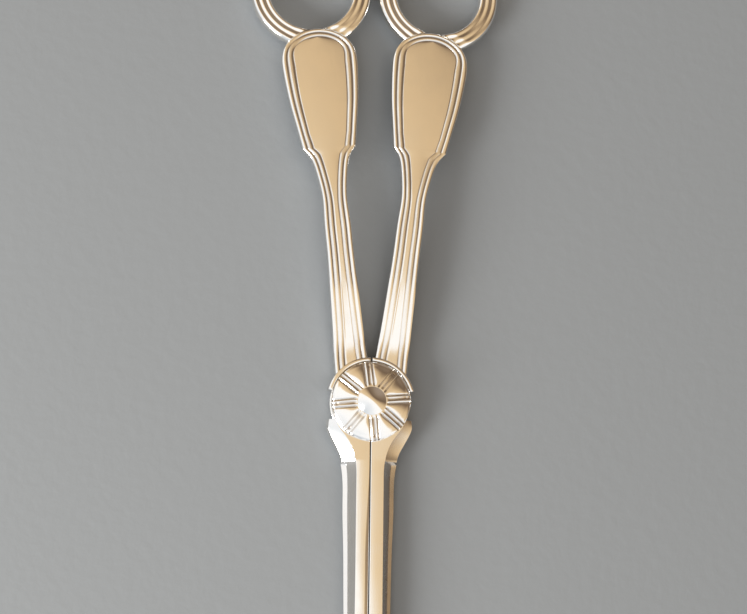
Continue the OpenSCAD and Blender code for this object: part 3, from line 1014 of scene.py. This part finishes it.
def rear_rosette_shape():
    """The flatter rear rosette, round the nut, with a plain rim outside its flutes"""
    turn = np.linspace(0, 2 * math.pi, 320, endpoint=False)
    r = np.concatenate([np.linspace(NUT_R + 0.45, 8.0, 30), np.linspace(8.1, 9.6, 18)])
    radius, angle = np.meshgrid(r, turn)
    height, dirt_and_shade = rear_rosette_face(radius, angle)
    bore = NUT_R + 0.3
    rim = [(9.7, 0.58), (ROSETTE_R, 0.46), (ROSETTE_R, 0.3), (9.66, 0.16), (9.58, 0.1),
           (HUB_R, 0.1), (HUB_R - 0.02, 0.0), (bore, 0.0), (bore, 1.0)]
    grid = rosette_grid(turn, radius, height, rim)
    grid[:, :, 2] = HUB_LIFT - grid[:, :, 2]
    stain_and_shade = np.pad(dirt_and_shade, ((0, 0), (0, len(rim))))
    shape = Shape()
    shape.grid(grid[::-1], stain_and_shade[::-1], loop_i=True, loop_j=True)
    return shape


def screw_shape():
    """The shoulder screw under its domed button"""
    edge = 0.05
    pole = 0.0004
    cap = []
    for r in np.linspace(BUTTON_R - 0.03, 0, 25):
        dome = 1 - (r / BUTTON_R) ** 2
        bell = math.cos(math.pi / 2 * r / BUTTON_R) ** 2
        rise = 0.75 * dome + 0.25 * bell
        cap.append((max(r, pole), SEAT_Z + edge + (BUTTON_H - edge) * rise))
    profile = [(pole, NUT_FLOOR), (THREAD_R - 0.1, NUT_FLOOR), (THREAD_R, NUT_FLOOR + 0.1),
               (THREAD_R, NUT_H), (SHOULDER_R, NUT_H), (SHOULDER_R, SEAT_Z),
               (BUTTON_R - 0.06, SEAT_Z)]
    return lathe(profile + cap)


def nut_mesh():
    """The round nut, with two blind holes for a pin spanner"""
    bore = THREAD_R + SEAT_FIT
    profile = [(0, NUT_FLOOR), (bore, NUT_FLOOR), (bore, NUT_H), (NUT_R, NUT_H), (NUT_R, 0.2),
               (NUT_R - 0.06, 0.06), (NUT_R - 0.2, 0), (NUT_R - 0.3, 0), (0, 0)]
    solid = lathe(profile, 96).mesh("nut_body")
    hole_r = 0.35
    for along in (2.2, -2.2):
        drill = lathe([(0, -0.5), (hole_r, -0.5), (hole_r, 0.35), (0, 0.45)], 28)
        drill.move(lambda p: p + np.array([0, along, 0]))
        solid = cut(solid, drill.mesh("drill"), "nut_drilled")
    return solid


# ---- The tongs --------------------------------------------------------------------------------

add_camera()
add_world()
add_light("window", (-0.7, -0.42, 0.34), (0, 0.02, 0), 0.42, 0.42, 22.0, (1.0, 0.985, 0.96))
add_floor()

PLATE = (0.95, 0.925, 0.885)
# The darkened colour: tarnish in the hollows, and painted shade and painted reflection on the
# jaws' meeting faces, lips and steep sides
DULL = (0.3, 0.23, 0.165)
plate_ring = metal("ring_silver_plate", PLATE, DULL, 0.13, 0.25, 0.35, (1, 1, 1))
plate_handle = metal("handle_silver_plate", PLATE, DULL, 0.12, 0.25, 0.4, (1, 0.25, 1))
plate_jaw = metal("jaw_silver_plate", PLATE, DULL, 0.11, 0.3, 0.5, (1, 0.05, 1))
plate_rosette = metal("rosette_silver_plate", PLATE, DULL, 0.13, 0.25, 0.3, (1, 1, 1))
plate_pivot = metal("pivot_silver_plate", PLATE, DULL, 0.1, 0.3, 0.3, (1, 1, 1))
brass = metal("pin_brass", (0.83, 0.64, 0.33), (0.2, 0.13, 0.06), 0.28, 0.4, 0.6, (1, 1, 0.2))
bronze = metal("washer_bronze", (0.71, 0.5, 0.28), (0.16, 0.1, 0.05), 0.32, 0.4, 0.7, (1, 1, 1))
spring = metal("spring_steel", (0.56, 0.55, 0.53), (0.12, 0.1, 0.08), 0.3, 0.4, 0.7, (1, 1, 1))

for name, material in (("front_rosette_pins", brass), ("rear_rosette_pins", brass),
                       ("spring_washer", spring), ("hub_washer", bronze)):
    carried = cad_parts[name]
    carried.data.materials.clear()
    carried.data.materials.append(material)

for side, body in (("left", "left_lever"), ("right", "right_lever")):
    ring = put_right(ring_shape())
    handle = put_right(handle_shape())
    handle.join(collar_shape(side == "left"))
    if side == "left":
        ring = ring.mirrored()
        handle = handle.mirrored()
    ring_mesh = ring.mesh(side + "_finger_ring_reeded")
    place(ring_mesh, body, plate_ring, "ring_plate", side + "_finger_ring")
    handle_mesh = handle.mesh(side + "_handle_threaded")
    place(handle_mesh, body, plate_handle, "handle_plate", side + "_handle")

for side, body in (("right", "left_lever"), ("left", "right_lever")):
    front = side == "right"
    blade = jaw_shape(not front)
    if front:
        lap = lap_shape(FRONT_LAP_Z, HUB_TOP, SHOULDER_R + SEAT_FIT, False)
    else:
        blade = blade.mirrored()
        lap = lap_shape(HUB_LIFT, REAR_LAP_Z, SHOULDER_R + RUN_FIT, True)
    jaw = mesh_shape(cut(blade.mesh("blade"), hub_cutter(front).mesh("cutter"), "blade_cut"))
    jaw.join(lap)
    place(jaw.mesh(side + "_jaw_bevelled", 30), body, plate_jaw, "jaw_plate", side + "_jaw")

front_petals = front_rosette_shape().mesh("front_rosette_petals", 50)
place(front_petals, "left_lever", plate_rosette, "rosette_plate", "front_rosette")
rear_petals = rear_rosette_shape().mesh("rear_rosette_petals", 50)
place(rear_petals, "right_lever", plate_rosette, "rosette_plate", "rear_rosette")
button = screw_shape().mesh("pivot_button_screw", 40)
place(button, "left_lever", plate_pivot, "pivot_plate", "pivot_screw")
nut = mesh_shape(nut_mesh()).mesh("pivot_round_nut", 40)
place(nut, "left_lever", plate_pivot, "pivot_plate", "pivot_nut")

bpy.context.scene.view_settings.view_transform = "Standard"
